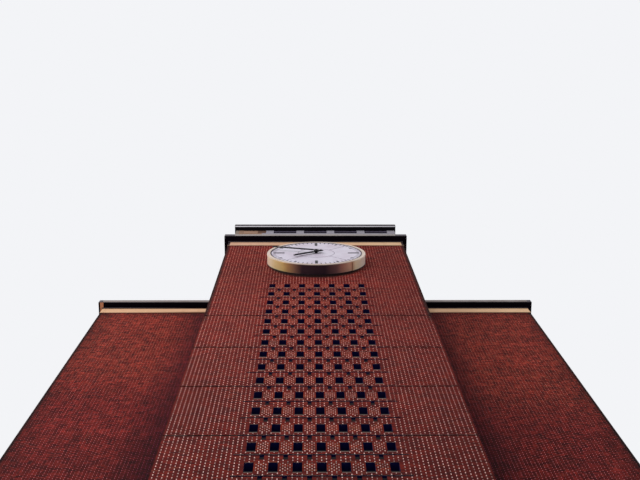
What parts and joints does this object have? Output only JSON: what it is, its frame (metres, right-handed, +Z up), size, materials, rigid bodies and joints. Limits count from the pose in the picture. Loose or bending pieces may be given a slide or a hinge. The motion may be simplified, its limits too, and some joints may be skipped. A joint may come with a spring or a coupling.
{
  "type": "brick clock tower, 1:2 scale model",
  "caption": "Brick clock tower at half size: a centre bay with a pierced grille, a round clock with turning hands and a roof lantern, between two wings with flat cornices.",
  "frame": {"origin": "on the ground, under the middle of the whole outline", "axes": "+Z up, the clock's side faces -Y, the wings lie along X"},
  "size_m": [9.869, 7.174, 25.0725],
  "materials": {
    "brick": "red brick laid in running bond with paler joints",
    "frieze": "smooth cream render",
    "roof_slab": "black-coated concrete slab, matt",
    "lantern": "pale grey render, matt",
    "infill": "tan render, matt",
    "drum": "brushed gold-coloured metal",
    "bezel": "cream paint, satin",
    "dial": "white enamel, satin",
    "clock_black": "black paint, satin"
  },
  "bodies": {
    "tower": {"front_base": "brick", "front_pier_left": "brick", "front_pier_right": "brick", "front_head": "brick", "front_grille": "brick", "back_base": "brick", "back_pier_left": "brick", "back_pier_right": "brick", "back_head": "brick", "back_grille": "brick", "front_return_left": "brick", "front_return_right": "brick", "back_return_left": "brick", "back_return_right": "brick", "wing_left_front": "brick", "wing_left_side": "brick", "wing_left_back": "brick", "wing_right_front": "brick", "wing_right_side": "brick", "wing_right_back": "brick", "front_frieze": "frieze", "back_frieze": "frieze", "wing_left_frieze": "frieze", "wing_right_frieze": "frieze", "bay_roof": "roof_slab", "wing_left_roof": "roof_slab", "wing_right_roof": "roof_slab", "lantern_cap": "roof_slab", "lantern_base_front": "lantern", "lantern_base_back": "lantern", "lantern_base_left": "lantern", "lantern_base_right": "lantern", "lantern_posts_front": "lantern", "lantern_posts_back": "lantern", "lantern_posts_left": "lantern", "lantern_posts_right": "lantern", "lantern_rails": "lantern", "lantern_roof": "lantern", "lantern_infill": "infill", "clock_drum": "drum", "clock_bezel": "bezel", "clock_dial": "dial", "hour_marks": "clock_black"},
    "minute_hand": {"minute_hand": "clock_black"},
    "hour_hand": {"hour_hand": "clock_black"}
  },
  "joints": [
    {"name": "minute_turn", "type": "hinge", "parent": "tower", "child": "minute_hand", "pos_m": [0, -3.569, 21.465], "axis": [0, 1, 0], "continuous": true},
    {"name": "hour_turn", "type": "hinge", "parent": "tower", "child": "hour_hand", "pos_m": [0, -3.539, 21.465], "axis": [0, 1, 0], "continuous": true}
  ],
  "couplings": [
    {"joint": "hour_turn", "follows": "minute_turn", "ratio": 0.083333}
  ]
}
